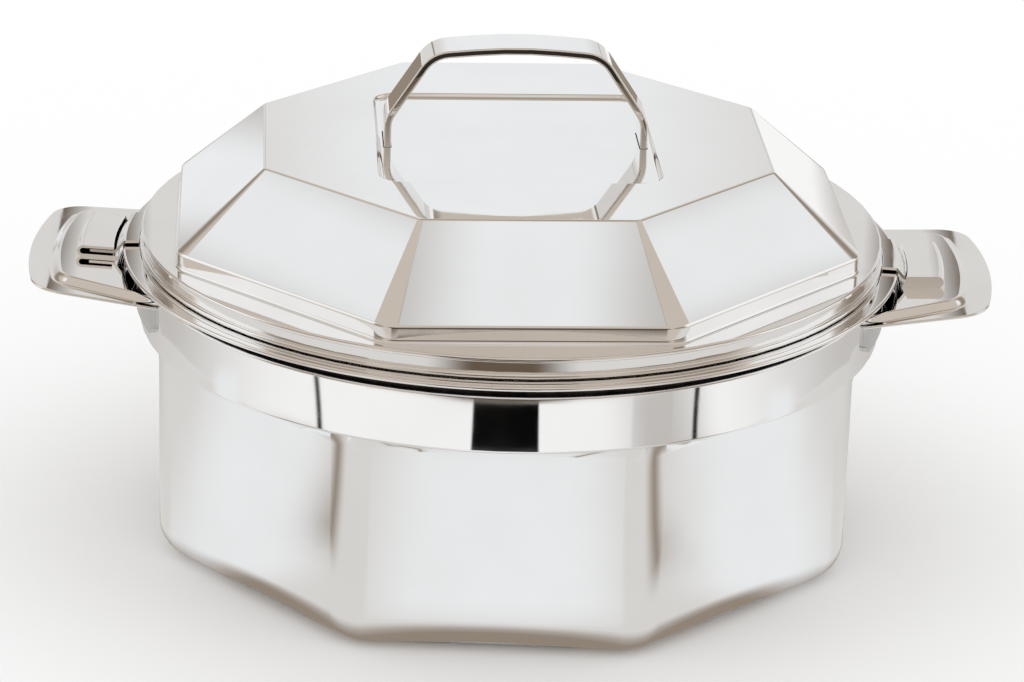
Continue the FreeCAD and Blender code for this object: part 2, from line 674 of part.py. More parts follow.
def lid_handle():
    """Flat strap bent to an arch, its ends clenched under the recess floor."""
    under = Z_CLENCH - SLOT_GAP - STRAP_T
    half, knee = STRAP_HALF_SPAN, Z_TOP + STRAP_KNEE_RISE
    shoulder = Z_TOP + STRAP_SHOULDER_RISE
    apex = shoulder + STRAP_SHOULDER_HALF * math.tan(math.radians(STRAP_CROWN_DEG))
    right = [(half - STRAP_FOOT, under), (half, under), (half, knee),
             (STRAP_SHOULDER_HALF, shoulder)]
    points = rz(*right, (0, apex), *[(-r, z) for r, z in right[::-1]])
    radii = [0, STRAP_FOOT_R, STRAP_KNEE_R, STRAP_SHOULDER_R]
    radii = radii + [STRAP_CROWN_R] + radii[::-1]
    face = sheet_face(points, radii, STRAP_T)
    face.translate(Vector(0, -STRAP_W / 2, 0))
    strap = face.extrude(Vector(0, STRAP_W, 0))
    sides = [e for e in strap.Edges if e.BoundBox.YLength < TOUCH and e.BoundBox.ZMin > Z_TOP]
    return clocked(strap.makeFillet(STRAP_EDGE_R, sides))


def tongue_height(radius):
    """Top of the tongue, parallel to the handle's panel."""
    tilt = math.radians(HANDLE_TILT_DEG)
    over_panel = PANEL_RISE + CATCH_T + TONGUE_GAP + TAB_T
    return Z_HANDLE + (radius - COLLAR_R) * math.tan(tilt) + over_panel / math.cos(tilt)


def lid_tab():
    """Tongue that passes over the rim, bends down and enters the catch."""
    leaf = Z_SEAT + TAB_LIFT + TAB_T
    bend = RIM_R - TAB_BEND_IN
    low_bend = bend + TAB_SLOPE
    end = CATCH_R + CATCH_REACH - CATCH_T - TONGUE_END_GAP
    start = SKIRT_R + CURL_OUT + CURL_R + WELD_GAP
    points = rz((end, tongue_height(end)), (low_bend, tongue_height(low_bend)), (bend, leaf),
                (start, leaf))
    spread = math.degrees(math.asin(TAB_HALF / RIM_R))
    return spin(sheet_face(points, [0, TAB_BEND_R, TAB_BEND_R, 0], TAB_T), 2 * spread, -spread)


# ================================================================ export
def main():
    save(outer_shell(), "outer_shell")
    save(inner_bowl(), "inner_bowl")
    save(body_insulation(), "body_insulation")
    save(base_plate(), "base_plate")
    save(filler_plug(BASE_PLUG_R, Z_BASE_DISH), "base_plug")
    for shape, node in ((side_handle(), "side_handle"), (handle_bracket(), "handle_bracket"),
                        (catch(), "catch"), (lid_tab(), "lid_tab"),
                        (clench_plate(), "clench_plate")):
        save(shape, "right_" + node)
        save(mirrored(shape), "left_" + node)
    save(seal_ring(), "seal_ring")
    save(lid_shell(), "lid_shell")
    save(lid_liner(), "lid_liner")
    save(lid_insulation(), "lid_insulation")
    save(filler_plug(LID_PLUG_R, liner_path()[0][-1].z - LID_LINER_T), "lid_plug")
    save(lid_handle(), "lid_handle")


main()
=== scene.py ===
"""Insulated octagonal serving casserole in mirror-polished steel, closed and locked.

Metres. The sizes repeat the names of the part's source; overall sizes come from the frame.
"""
import bpy
import bmesh
import math
from mathutils import Matrix, Vector


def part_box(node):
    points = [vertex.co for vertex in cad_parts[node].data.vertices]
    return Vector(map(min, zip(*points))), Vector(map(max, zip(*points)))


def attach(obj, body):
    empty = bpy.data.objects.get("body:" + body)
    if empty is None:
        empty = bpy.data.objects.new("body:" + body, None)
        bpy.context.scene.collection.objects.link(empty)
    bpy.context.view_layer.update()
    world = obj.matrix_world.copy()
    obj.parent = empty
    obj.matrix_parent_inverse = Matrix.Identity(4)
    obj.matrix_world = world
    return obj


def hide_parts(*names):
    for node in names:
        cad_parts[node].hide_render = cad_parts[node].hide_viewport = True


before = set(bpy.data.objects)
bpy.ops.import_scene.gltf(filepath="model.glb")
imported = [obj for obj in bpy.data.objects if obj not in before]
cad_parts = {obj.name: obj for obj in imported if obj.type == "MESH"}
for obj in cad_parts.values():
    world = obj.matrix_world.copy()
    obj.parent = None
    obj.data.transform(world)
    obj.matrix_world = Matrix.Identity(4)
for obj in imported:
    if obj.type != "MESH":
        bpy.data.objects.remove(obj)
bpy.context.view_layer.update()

MM = 0.001
TOUCH = 0.05 * MM
SIDES = 8
STEP = 2 * math.pi / SIDES
ROUND_STEPS = 256        # segments of a full turn
ARC_STEP = math.radians(9)

# ------------------------------------------------------------------ sizes from the frame
shell_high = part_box("outer_shell")[1]
bowl_low, bowl_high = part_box("inner_bowl")
lid_low, lid_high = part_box("lid_shell")
strap_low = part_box("lid_handle")[0]

COLLAR_R = shell_high.x
RIM_R = bowl_high.x
Z_RIM = bowl_high.z
Z_SEAT = lid_low.z
Z_TOP = lid_high.z

# ------------------------------------------------------------------ pot
SHELL_T = 0.8 * MM
COLLAR_H = 19.1 * MM
COLLAR_TOP_EDGE_R = 0.8 * MM
COLLAR_LOW_EDGE_R = 1.8 * MM
NECK_SET_IN = 2.3 * MM
FLAT_SET_IN = 10.1 * MM
BODY_CORNER_R = 18.2 * MM
BODY_BASE_R = 12.5 * MM
WALL_H = 70.0 * MM
SHOULDER_H = 4.2 * MM
BASE_BORDER = 28.3 * MM
BEAD_R = 0.75 * MM
LINER_T = 0.9 * MM
MOUTH_SET_IN = 8.3 * MM
MOUTH_EDGE_R = 3.0 * MM
BOWL_TAPER = 3.5 * MM
BOWL_BASE_R = 24.0 * MM
BODY_FLAT = COLLAR_R - FLAT_SET_IN
SHOULDER_R = (BODY_FLAT - BODY_CORNER_R) / math.cos(STEP / 2) + BODY_CORNER_R
NECK_R = COLLAR_R - NECK_SET_IN
MOUTH_R = BODY_FLAT - MOUTH_SET_IN
BASE_HOLE_R = BODY_FLAT - BASE_BORDER
Z_COLLAR_LOW = WALL_H + SHOULDER_H
Z_COLLAR_TOP = Z_COLLAR_LOW + COLLAR_H
Z_BOWL_FLOOR = bowl_low.z + LINER_T

# ------------------------------------------------------------------ side handles, catches
HANDLE_REACH = 31.3 * MM
HANDLE_T = 1.0 * MM
HANDLE_TILT = math.radians(5.0)
HANDLE_CLOCK = math.radians(1.4)
HANDLE_DROP = 1.9 * MM
HANDLE_ROOT_HALF = 46.2 * MM
HANDLE_TIP_HALF = 40.5 * MM
HANDLE_CORNER_R = 13.0 * MM
HANDLE_EDGE_R = 0.45 * MM
PANEL_RISE = 2.3 * MM
PANEL_SLOPE = 3.6 * MM
PANEL_END_INSET = 6.8 * MM
PANEL_ROOT_INSET = 2.4 * MM
PANEL_SIDE_INSET = 6.6 * MM
PANEL_CORNER_R = 9.0 * MM
WELD_GAP = 0.02 * MM
HANDLE_END_R = RIM_R + HANDLE_REACH
Z_HANDLE = Z_COLLAR_TOP - HANDLE_DROP
Z_PANEL = Z_HANDLE + PANEL_RISE
CATCH_T = 0.9 * MM
CATCH_CLEAR = 1.7 * MM
CATCH_TOP_BACK = 1.8 * MM
CATCH_REACH = 14.0 * MM
CATCH_GAP = 2.1 * MM
CATCH_CURL_R = 2.1 * MM
CATCH_HALF = 15.2 * MM
CATCH_R = RIM_R + CATCH_CLEAR
Z_CATCH_TOP = Z_PANEL + CATCH_GAP + 2 * CATCH_T

# ------------------------------------------------------------------ lid
LID_T = 0.8 * MM
LID_CLOCK = math.radians(5.0)
LID_SET_IN = 6.8 * MM
CURL_R = 0.9 * MM
CURL_OUT = 0.45 * MM
SKIRT_H = 5.3 * MM
FLANGE_LIP = 0.7 * MM
FLANGE_EDGE_H = 1.6 * MM
FLANGE_EDGE_R = 0.75 * MM
LID_LEDGE = 11.9 * MM
LID_WALL_CORNER_R = 11.0 * MM
LID_WALL_H = 5.4 * MM
FACET_RISE = 25.4 * MM
FACET_RUN = 28.3 * MM
LID_TOP_CORNER_R = 2.6 * MM
WALL_FOOT_R = 1.1 * MM
WALL_HEAD_R = 1.5 * MM
TOP_EDGE_R = 1.6 * MM
RECESS_HALF_X = 46.0 * MM
RECESS_HALF_Y = 46.8 * MM
RECESS_DEPTH = 1.2 * MM
RECESS_CORNER_R = 8.0 * MM
RECESS_SLOPE = math.radians(60.0)
RECESS_FOOT_R = 1.4 * MM
RECESS_EDGE_R = 0.8 * MM
SKIRT_R = RIM_R - LID_SET_IN
FLANGE_R = SKIRT_R + FLANGE_LIP
LID_WALL_FLAT = SKIRT_R - LID_LEDGE
LID_TOP_FLAT = LID_WALL_FLAT - FACET_RUN
Z_FLANGE_LOW = Z_SEAT + SKIRT_H
Z_FLANGE = Z_FLANGE_LOW + FLANGE_EDGE_H
Z_WALL_HEAD = Z_FLANGE + LID_WALL_H
Z_FLOOR = Z_TOP - RECESS_DEPTH

# ------------------------------------------------------------------ strap handle, tabs, liner
STRAP_T = 2.4 * MM
STRAP_W = 17.0 * MM
STRAP_EDGE_R = 0.6 * MM
STRAP_INSET = 2.3 * MM
STRAP_KNEE_RISE = 8.5 * MM
STRAP_KNEE_R = 11.0 * MM
STRAP_SHOULDER_IN = 15.1 * MM
STRAP_SHOULDER_RISE = 31.4 * MM
STRAP_SHOULDER_R = 12.0 * MM
STRAP_CROWN = math.radians(5.0)
STRAP_CROWN_R = 160.0 * MM
STRAP_FOOT = 13.0 * MM
STRAP_FOOT_R = 2.9 * MM
SLOT_GAP = 0.2 * MM
STRAP_HALF_SPAN = RECESS_HALF_X - STRAP_INSET
LID_LINER_T = 0.8 * MM
SEAL_W = 3.3 * MM
PLUG_WALL_H = 8.4 * MM
PLUG_EDGE_R = 2.2 * MM
DISH_EDGE_R = 2.4 * MM
DISH_RISE = 24.0 * MM
DISH_RUN = 40.0 * MM
LINER_HEM = 0.25 * MM
LID_PLUG_R = 6.0 * MM
PLUG_WALL_R = MOUTH_R - SEAL_W
TAB_T = 0.9 * MM
TAB_END_GAP = 0.8 * MM
TAB_LIFT = 0.4 * MM
TAB_BEND_IN = 0.4 * MM
TAB_SLOPE = 3.3 * MM
TAB_BEND_R = 1.6 * MM
TONGUE_GAP = 0.6 * MM
TONGUE_END_GAP = 3.9 * MM
TAB_HALF = CATCH_HALF - TAB_END_GAP
SHEET_EDGE_R = 0.25 * MM
PRESS_STEPS = 14
RECT_STEPS = 10
RECESS_STEPS = 5
EDGE_STEPS = 4


# ================================================================== profiles
def rounded(points, radii, closed=False):
    """A polyline of (r, z) points whose corners are arcs."""
    count = len(points)
    out = []
    for i, (point, radius) in enumerate(zip(points, radii)):
        at = Vector(point)
        if radius <= 0 or (not closed and i in (0, count - 1)):
            out.append(at)
            continue
        a = Vector(points[i - 1]) - at
        b = Vector(points[(i + 1) % count]) - at
        la, lb = a.length, b.length
        a.normalize()
        b.normalize()
        half = math.acos(max(-1.0, min(1.0, a.dot(b)))) / 2
        reach = min(radius / math.tan(half), 0.499 * la, 0.499 * lb)
        radius = reach * math.tan(half)
        bisector = (a + b).normalized()
        centre = at + bisector * (radius / math.sin(half))
        turn = math.pi - 2 * half
        steps = max(3, math.ceil(turn / ARC_STEP))
        start = at + a * reach - centre
        side = 1 if start.x * (at - centre).y - start.y * (at - centre).x > 0 else -1
        for k in range(steps + 1):
            angle = side * turn * k / steps
            c, s = math.cos(angle), math.sin(angle)
            out.append(centre + Vector((start.x * c - start.y * s, start.x * s + start.y * c)))
    return out


def beside(points, radii, offset):
    """A polyline parallel to another at a distance to its left, with its radii."""
    runs = [(Vector(b) - Vector(a)).normalized() for a, b in zip(points, points[1:])]
    normals = [Vector((-run.y, run.x)) for run in runs]
    out, out_radii = [], []
    for i, point in enumerate(points):
        n0 = normals[max(i - 1, 0)]
        n1 = normals[min(i, len(normals) - 1)]
        miter = n0 + n1
        out.append(Vector(point) + miter * (2 * offset / miter.dot(miter)))
        turn = n0.x * n1.y - n0.y * n1.x
        change = -offset if turn > 0 else offset
        out_radii.append(max(radii[i] + change, 0.05 * MM) if radii[i] > 0 else 0)
    return out, out_radii


def sheet_outline(points, radii, thickness, edge_r=0.0):
    """Closed section of bent sheet that lies to the left of a path."""
    far, far_radii = beside(points, radii, thickness)
    ring = [Vector(p) for p in points] + far[::-1]
    ends = [edge_r] + radii[1:-1] + [edge_r]
    far_ends = [edge_r] + far_radii[1:-1][::-1] + [edge_r]
    return rounded(ring, ends + far_ends, closed=True)


# ================================================================== meshes
def shade(obj, sharp_degrees=40):
    """Smooth shading with flats kept flat and real edges kept sharp."""
    mesh = obj.data
    mesh.shade_smooth()
    mesh.set_sharp_from_angle(angle=math.radians(sharp_degrees))
    keep = obj.modifiers.new("weighted_normals", "WEIGHTED_NORMAL")
    keep.keep_sharp = True
    keep.weight = 100


def piece(name, bm, body, slot, material, *nodes, sharp_degrees=40):
    """Finish a bmesh as a piece that rides on a body and stands for CAD nodes."""
    bmesh.ops.remove_doubles(bm, verts=bm.verts, dist=0.002 * MM)
    bmesh.ops.delete(bm, geom=[e for e in bm.edges if e.is_wire], context="EDGES")
    bmesh.ops.recalc_face_normals(bm, faces=bm.faces)
    if bm.calc_volume(signed=True) < 0:
        bmesh.ops.reverse_faces(bm, faces=bm.faces)
    mesh = bpy.data.meshes.new(name)
    bm.to_mesh(mesh)
    bm.free()
    obj = bpy.data.objects.new(name, mesh)
    bpy.context.scene.collection.objects.link(obj)
    shade(obj, sharp_degrees)
    mesh.materials.append(material)
    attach(obj, body)
    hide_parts(*nodes)
    return obj


def skin(bm, rings, around=True, along=False):
    """Quads between rings of points; rings may close on themselves and on each other."""
    rows = [[bm.verts.new(p) for p in ring] for ring in rings]
    count = len(rows[0])
    pairs = list(zip(rows, rows[1:]))
    if along:
        pairs.append((rows[-1], rows[0]))
    last = count if around else count - 1
    for low, high in pairs:
        for i in range(last):
            j = (i + 1) % count
            bm.faces.new((low[i], low[j], high[j], high[i]))
    return rows


def cap(bm, row):
    bm.faces.new(row)


def turned(profile, start=0.0, sweep=2 * math.pi):
    """Rings of a profile of (r, z) points carried round the axis."""
    whole = sweep > 2 * math.pi - 1e-6
    steps = max(2, round(ROUND_STEPS * sweep / (2 * math.pi)))
    count = steps if whole else steps + 1
    rings = []
    for k in range(count):
        a = start + sweep * k / steps
        rings.append([Vector((p[0] * math.cos(a), p[0] * math.sin(a), p[1])) for p in profile])
    return rings, whole


def lathe(profile):
    """A full turn of a closed profile, or of an open one that ends on the axis."""
    bm = bmesh.new()
    rings, _ = turned(profile)
    skin(bm, rings, around=True, along=True)
    return bm


def sector(profile, start, sweep):
    """Part of a turn of a closed profile, with flat ends."""
    bm = bmesh.new()
    rings, _ = turned(profile, start, sweep)
    rows = skin(bm, rings, around=True)
    cap(bm, rows[0])
    cap(bm, rows[-1])
    return bm


# ================================================================== octagons
SIDE_STEPS = 8
CORNER_STEPS = 12


def direction(angle):
    return Vector((math.cos(angle), math.sin(angle), 0))


def octagon_ring(flat, corner_r, z, clock=0.0):
    """Octagon with rounded corners, flats facing +X, +Y and between."""
    half = (flat - corner_r) * math.tan(STEP / 2)
    centre_r = (flat - corner_r) / math.cos(STEP / 2)
    ring = []
    for k in range(SIDES):
        mid = clock + k * STEP
        out, along = direction(mid), direction(mid + math.pi / 2)
        for j in range(SIDE_STEPS + 1):
            t = 2 * j / SIDE_STEPS - 1
            ring.append(out * flat + along * (half * t) + Vector((0, 0, z)))
        centre = direction(mid + STEP / 2) * centre_r + Vector((0, 0, z))
        for j in range(1, CORNER_STEPS):
            ring.append(centre + direction(mid + STEP * j / CORNER_STEPS) * corner_r)
    return ring


def circle_ring(radius, z, flat, corner_r, clock=0.0):
    """Circle with as many points as an octagon, at the places that face its points."""
    half = (flat - corner_r) * math.tan(STEP / 2)
    spread = math.atan2(half, flat)
    ring = []
    for k in range(SIDES):
        mid = clock + k * STEP
        for j in range(SIDE_STEPS + 1):
            ring.append(direction(mid + spread * (2 * j / SIDE_STEPS - 1)) * radius + Vector((0, 0, z)))
        for j in range(1, CORNER_STEPS):
            angle = mid + spread + (STEP - 2 * spread) * j / CORNER_STEPS
            ring.append(direction(angle) * radius + Vector((0, 0, z)))
    return ring


def body_rings(inset):
    """The outer shell's surface, set in by a distance, from the base opening to the neck."""
    flat, corner_r = BODY_FLAT - inset, BODY_CORNER_R - inset
    base_r = BODY_BASE_R - inset
    rings = [circle_ring(BASE_HOLE_R, inset, flat, corner_r)]
    steps = math.ceil(math.pi / 2 / ARC_STEP)
    for k in range(steps + 1):
        a = math.pi / 2 * k / steps
        back = base_r * (1 - math.sin(a))
        rings.append(octagon_ring(flat - back, corner_r - back, inset + base_r * (1 - math.cos(a))))
    rings.append(octagon_ring(flat, corner_r, WALL_H))
    low, top = Z_COLLAR_LOW + inset, Z_COLLAR_TOP - inset
    points = [(SHOULDER_R - inset, low), (COLLAR_R - inset, low), (COLLAR_R - inset, top),
              (NECK_R - inset, top), (NECK_R - inset, Z_RIM - LINER_T)]
    radii = [0, COLLAR_LOW_EDGE_R - inset, max(COLLAR_TOP_EDGE_R - inset, 0), 0, 0]
    rings += [circle_ring(p[0], p[1], flat, corner_r) for p in rounded(points, radii)]
    return rings


def outer_shell(material, groove):
    bm = bmesh.new()
    skin(bm, body_rings(0) + body_rings(SHELL_T)[::-1], along=True)
    obj = piece("outer_shell_polished", bm, "pot", "polished_steel", material, "outer_shell")
    obj.data.materials.append(groove)
    # The collar's top and the neck, down in the groove under the rim, take the second, near-black
    # material: painted shade.
    edge = COLLAR_R - COLLAR_TOP_EDGE_R
    for face in obj.data.polygons:
        if face.center.z > Z_COLLAR_TOP - TOUCH and face.center.xy.length < edge:
            face.material_index = 1
    return obj


def inner_bowl(material, inside_finish):
    points = [(RIM_R - BEAD_R, Z_RIM), (MOUTH_R, Z_RIM), (MOUTH_R - BOWL_TAPER, Z_BOWL_FLOOR),
              (0, Z_BOWL_FLOOR)]
    radii = [0, MOUTH_EDGE_R, BOWL_BASE_R, 0]
    far, far_radii = beside(points, radii, LINER_T)
    inside = rounded(points, radii)
    outside = rounded(far, far_radii)[::-1]
    centre = Vector((RIM_R - BEAD_R, Z_RIM - BEAD_R))
    meet = math.acos((BEAD_R - LINER_T) / BEAD_R)
    roll = []
    steps = math.ceil((2 * math.pi - meet) / ARC_STEP)
    for k in range(1, steps + 1):
        a = math.pi / 2 + meet + (2 * math.pi - meet) * k / steps
        roll.append(centre + Vector((math.cos(a), math.sin(a))) * BEAD_R)
    outside[-1] = centre + Vector((math.cos(math.pi / 2 + meet), math.sin(math.pi / 2 + meet))) * BEAD_R
    profile = outside + roll[:-1] + inside
    obj = piece("inner_bowl_polished", lathe(profile), "pot", "polished_steel", material, "inner_bowl")
    obj.data.materials.append(inside_finish)
    for face in obj.data.polygons:
        if face.center.xy.length < MOUTH_R + TOUCH and face.center.z < Z_RIM - MOUTH_EDGE_R:
            face.material_index = 1
    return obj


# ================================================================== side handles
def tongue(root_half, tip_half, end_r, corner_r, count=24):
    """Plan outline of a handle from its root at -Y to its root at +Y."""
    lean = math.atan((root_half - tip_half) / (end_r - COLLAR_R))
    # corner circle touches the side line and the end circle from inside
    inner = end_r - corner_r
    offset = (root_half * math.cos(lean) + COLLAR_R * math.sin(lean)) - corner_r
    # centre satisfies x*sin(lean) + y*cos(lean) = offset and |centre| = inner
    foot = Vector((math.sin(lean), math.cos(lean))) * offset
    reach = math.sqrt(inner * inner - offset * offset)
    centre = foot + Vector((math.cos(lean), -math.sin(lean))) * reach
    start_a = math.atan2(centre.y, centre.x)
    side_a = math.pi / 2 - lean
    points = []
    for k in range(count + 1):
        a = start_a * k / count
        points.append(Vector((end_r * math.cos(a), end_r * math.sin(a))))
    for k in range(1, count + 1):
        a = start_a + (side_a - start_a) * k / count
        points.append(centre + Vector((math.cos(a), math.sin(a))) * corner_r)
    touch = points[-1]
    root = root_point(touch, lean, COLLAR_R + WELD_GAP)
    for k in range(1, count + 1):
        points.append(touch.lerp(root, k / count))
    mirror = [Vector((p.x, -p.y)) for p in points[:0:-1]]
    return mirror + points


def root_point(touch, lean, radius):
    """Where the straight side meets the collar."""
    back = Vector((-math.cos(lean), math.sin(lean)))
    b = touch.dot(back)
    c = touch.dot(touch) - radius * radius
    return touch + back * (-b - math.sqrt(b * b - c))


def handle_plan(inset, panel=False):
    if panel:
        return tongue(HANDLE_ROOT_HALF - PANEL_ROOT_INSET - inset,
                      HANDLE_TIP_HALF - PANEL_SIDE_INSET - inset,
                      HANDLE_END_R - PANEL_END_INSET - inset,
                      PANEL_CORNER_R - inset / 2)
    return tongue(HANDLE_ROOT_HALF - inset, HANDLE_TIP_HALF - inset, HANDLE_END_R - inset,
                  HANDLE_CORNER_R - inset)


def at_height(plan, z):
    return [Vector((p.x, p.y, z)) for p in plan]


def collar_arc(bm, start, end, count=24):
    """New vertices along the collar between two vertices at one height."""
    radius = COLLAR_R + WELD_GAP
    a0, a1 = (math.atan2(v.co.y, v.co.x) for v in (start, end))
    return [bm.verts.new(direction(a0 + (a1 - a0) * k / count) * radius + Vector((0, 0, start.co.z)))
            for k in range(1, count)]


def handle_rings():
    """Open rings of the pressed plate, from its hollow underside over the edge to the panel."""
    top, low = Z_HANDLE, Z_HANDLE - HANDLE_T
    quarter = 4
    rings = [at_height(handle_plan(PANEL_SLOPE + HANDLE_T, panel=True), Z_PANEL - HANDLE_T),
             at_height(handle_plan(HANDLE_T / 2, panel=True), low)]
    for centre_z, first in ((low + HANDLE_EDGE_R, -quarter), (top - HANDLE_EDGE_R, 0)):
        for k in range(first, first + quarter + 1):
            a = math.pi / 2 * k / quarter
            rings.append(at_height(handle_plan(HANDLE_EDGE_R * (1 - math.cos(a))),
                                   centre_z + HANDLE_EDGE_R * math.sin(a)))
    for k in range(PRESS_STEPS + 1):
        t = k / PRESS_STEPS
        rise = PANEL_RISE * (1 - math.cos(math.pi * t)) / 2
        rings.append(at_height(handle_plan(PANEL_SLOPE * t, panel=True), top + rise))
    return rings


def side_handle(material, side):
    """Pressed plate: flat rim with a rounded edge, soft step, raised panel."""
    bm = bmesh.new()
    rows = skin(bm, handle_rings(), around=False)
    under = collar_arc(bm, rows[0][-1], rows[0][0])
    over = collar_arc(bm, rows[-1][-1], rows[-1][0])
    bm.faces.new(rows[0] + under)
    bm.faces.new(rows[-1] + over)
    ends = [row[-1] for row in rows], [row[0] for row in rows]
    low = [ends[0][0]] + under + [ends[1][0]]
    high = [ends[0][-1]] + over + [ends[1][-1]]
    for i in range(len(low) - 1):
        bm.faces.new((low[i], low[i + 1], high[i + 1], high[i]))
    for column in ends:
        bm.faces.new(column)
    tilted(bm)
    return both_sides(bm, side, "side_handle", "pot", material)


def tilted(bm):
    """Raise the outer end of a piece about the handle's root and turn it with the handle."""
    root = Vector((COLLAR_R, 0, Z_HANDLE))
    bmesh.ops.rotate(bm, verts=bm.verts, cent=root, matrix=Matrix.Rotation(-HANDLE_TILT, 3, "Y"))
    for vert in bm.verts:
        short = COLLAR_R + WELD_GAP - vert.co.xy.length
        if short > 0:
            vert.co += Vector((vert.co.x, vert.co.y, 0)).normalized() * short
    bmesh.ops.rotate(bm, verts=bm.verts, cent=(0, 0, 0), matrix=Matrix.Rotation(HANDLE_CLOCK, 3, "Z"))


def both_sides(bm, side, node, body, material):
    """The right-hand piece, or the same piece half a turn round for the left."""
    if side == "left":
        bmesh.ops.rotate(bm, verts=bm.verts, cent=(0, 0, 0), matrix=Matrix.Rotation(math.pi, 3, "Z"))
    name = side + "_" + node
    return piece(name + "_steel", bm, body, "polished_steel", material, name)


def catch(material, side):
    """C-shaped clip of bent sheet, open towards the pot, with a closed end."""
    out = CATCH_R + CATCH_REACH
    points = [(CATCH_R, Z_PANEL), (out, Z_PANEL), (out, Z_CATCH_TOP),
              (CATCH_R + CATCH_TOP_BACK, Z_CATCH_TOP)]
    radii = [0, CATCH_CURL_R, CATCH_CURL_R, 0]
    spread = math.asin(CATCH_HALF / RIM_R)
    stop = CATCH_T / RIM_R
    start = -spread - HANDLE_CLOCK
    bm = sector(sheet_outline(points, radii, CATCH_T, SHEET_EDGE_R), start, 2 * spread)
    seam = WELD_GAP / RIM_R
    wall = sector(rounded(points, radii, closed=True), start - stop, stop - seam)
    mesh = bpy.data.meshes.new("wall")
    wall.to_mesh(mesh)
    bm.from_mesh(mesh)
    bpy.data.meshes.remove(mesh)
    wall.free()
    tilted(bm)
    return both_sides(bm, side, "catch", "pot", material)


# ================================================================== lid
def fill(bm, *loops):
    """Flat face between an outer loop of vertices and the loops inside it."""
    edges = []
    for loop in loops:
        for a, b in zip(loop, loop[1:] + loop[:1]):
            edges.append(bm.edges.get((a, b)) or bm.edges.new((a, b)))
    bmesh.ops.triangle_fill(bm, edges=edges, use_beauty=True)


def rect_ring(half_x, half_y, corner_r, z):
    """Rounded rectangle in the lid's turned frame."""
    ring = []
    for k, (sx, sy) in enumerate(((1, 1), (-1, 1), (-1, -1), (1, -1))):
        centre = Vector((sx * (half_x - corner_r), sy * (half_y - corner_r), z))
        steps = RECT_STEPS if corner_r > 0 else 0
        for j in range(steps + 1):
            a = math.pi / 2 * (k + (j / steps if steps else 0))
            ring.append(centre + direction(a) * corner_r)
    return clocked(ring)


def clocked(ring):
    turn = Matrix.Rotation(LID_CLOCK, 3, "Z")
    return [turn @ p for p in ring]


def slot_rings(z):
    """Corners of the two slots for the strap's legs."""
    rings = []
    for side in (-1, 1):
        mid = side * (STRAP_HALF_SPAN - STRAP_T / 2)
        half_x, half_y = STRAP_T / 2 + SLOT_GAP, STRAP_W / 2 + SLOT_GAP
        corners = [(mid + sx * half_x, sy * half_y) for sx, sy in ((1, 1), (-1, 1), (-1, -1), (1, -1))]
        rings.append(clocked([Vector((x, y, z)) for x, y in corners]))
    return rings


def brim_profile():
    """Inner face of the skirt, its curled edge, its outer face and the flange edge."""
    curl = Vector((SKIRT_R + CURL_OUT, Z_SEAT + CURL_R))
    end = 2 * math.pi + math.acos(-CURL_OUT / CURL_R)
    steps = math.ceil((end - math.pi) / ARC_STEP)
    arc = []
    for k in range(steps + 1):
        a = math.pi + (end - math.pi) * k / steps
        arc.append(curl + Vector((math.cos(a), math.sin(a))) * CURL_R)
    upper = rounded([(SKIRT_R, arc[-1].y), (SKIRT_R, Z_FLANGE_LOW), (FLANGE_R, Z_FLANGE_LOW),
                     (FLANGE_R, Z_FLANGE), (SKIRT_R - LID_LEDGE / 2, Z_FLANGE)],
                    [0, 0, FLANGE_EDGE_R / 2, FLANGE_EDGE_R, 0])
    return [Vector((SKIRT_R - LID_T, curl.y))] + arc + upper[1:-1]


def facet_rings():
    """Octagonal wall, folds and sloping facets up to the edge of the top plate."""
    points = [(SKIRT_R - LID_LEDGE / 2, Z_FLANGE), (LID_WALL_FLAT, Z_FLANGE),
              (LID_WALL_FLAT, Z_WALL_HEAD), (LID_TOP_FLAT, Z_TOP), (LID_TOP_FLAT / 2, Z_TOP)]
    rings = []
    for flat, z in rounded(points, [0, WALL_FOOT_R, WALL_HEAD_R, TOP_EDGE_R, 0])[1:-1]:
        t = max(0.0, (z - Z_WALL_HEAD) / FACET_RISE)
        sharp_flat = LID_WALL_FLAT - FACET_RUN * t
        sharp_r = LID_WALL_CORNER_R + (LID_TOP_CORNER_R - LID_WALL_CORNER_R) * t
        rings.append(octagon_ring(flat, sharp_r - (sharp_flat - flat), z, LID_CLOCK))
    return rings


def lid_circle(radius, z):
    return circle_ring(radius, z, LID_WALL_FLAT, LID_WALL_CORNER_R, LID_CLOCK)


def recess_rings():
    """Rounded edge, sloping side and rounded foot of the recess in the top plate."""
    share = math.tan(RECESS_SLOPE / 2)
    foot = RECESS_DEPTH / math.tan(RECESS_SLOPE) + RECESS_FOOT_R * share
    steps = [RECESS_SLOPE * k / RECESS_STEPS for k in range(RECESS_STEPS + 1)]
    path = [(RECESS_EDGE_R * (share - math.sin(a)), Z_TOP - RECESS_EDGE_R * (1 - math.cos(a)))
            for a in steps]
    path += [(RECESS_FOOT_R * math.sin(a) - foot, Z_FLOOR + RECESS_FOOT_R * (1 - math.cos(a)))
             for a in steps[::-1]]
    return [rect_ring(RECESS_HALF_X + out, RECESS_HALF_Y + out, RECESS_CORNER_R + out, z)
            for out, z in path]


def inner_lid_rings():
    """Inside faces of the brim, the wall and the facets."""
    slant = math.hypot(FACET_RISE, FACET_RUN)
    head = Z_WALL_HEAD + LID_T * (FACET_RISE - slant) / FACET_RUN
    top_flat = LID_TOP_FLAT + LID_T * (FACET_RUN - slant) / FACET_RISE
    wall, wall_r = LID_WALL_FLAT - LID_T, LID_WALL_CORNER_R - LID_T
    return [lid_circle(SKIRT_R - LID_T, Z_FLANGE - LID_T),
            octagon_ring(wall, wall_r, Z_FLANGE - LID_T, LID_CLOCK),
            octagon_ring(wall, wall_r, head, LID_CLOCK),
            octagon_ring(top_flat, LID_TOP_CORNER_R - LID_T, Z_TOP - LID_T, LID_CLOCK)]


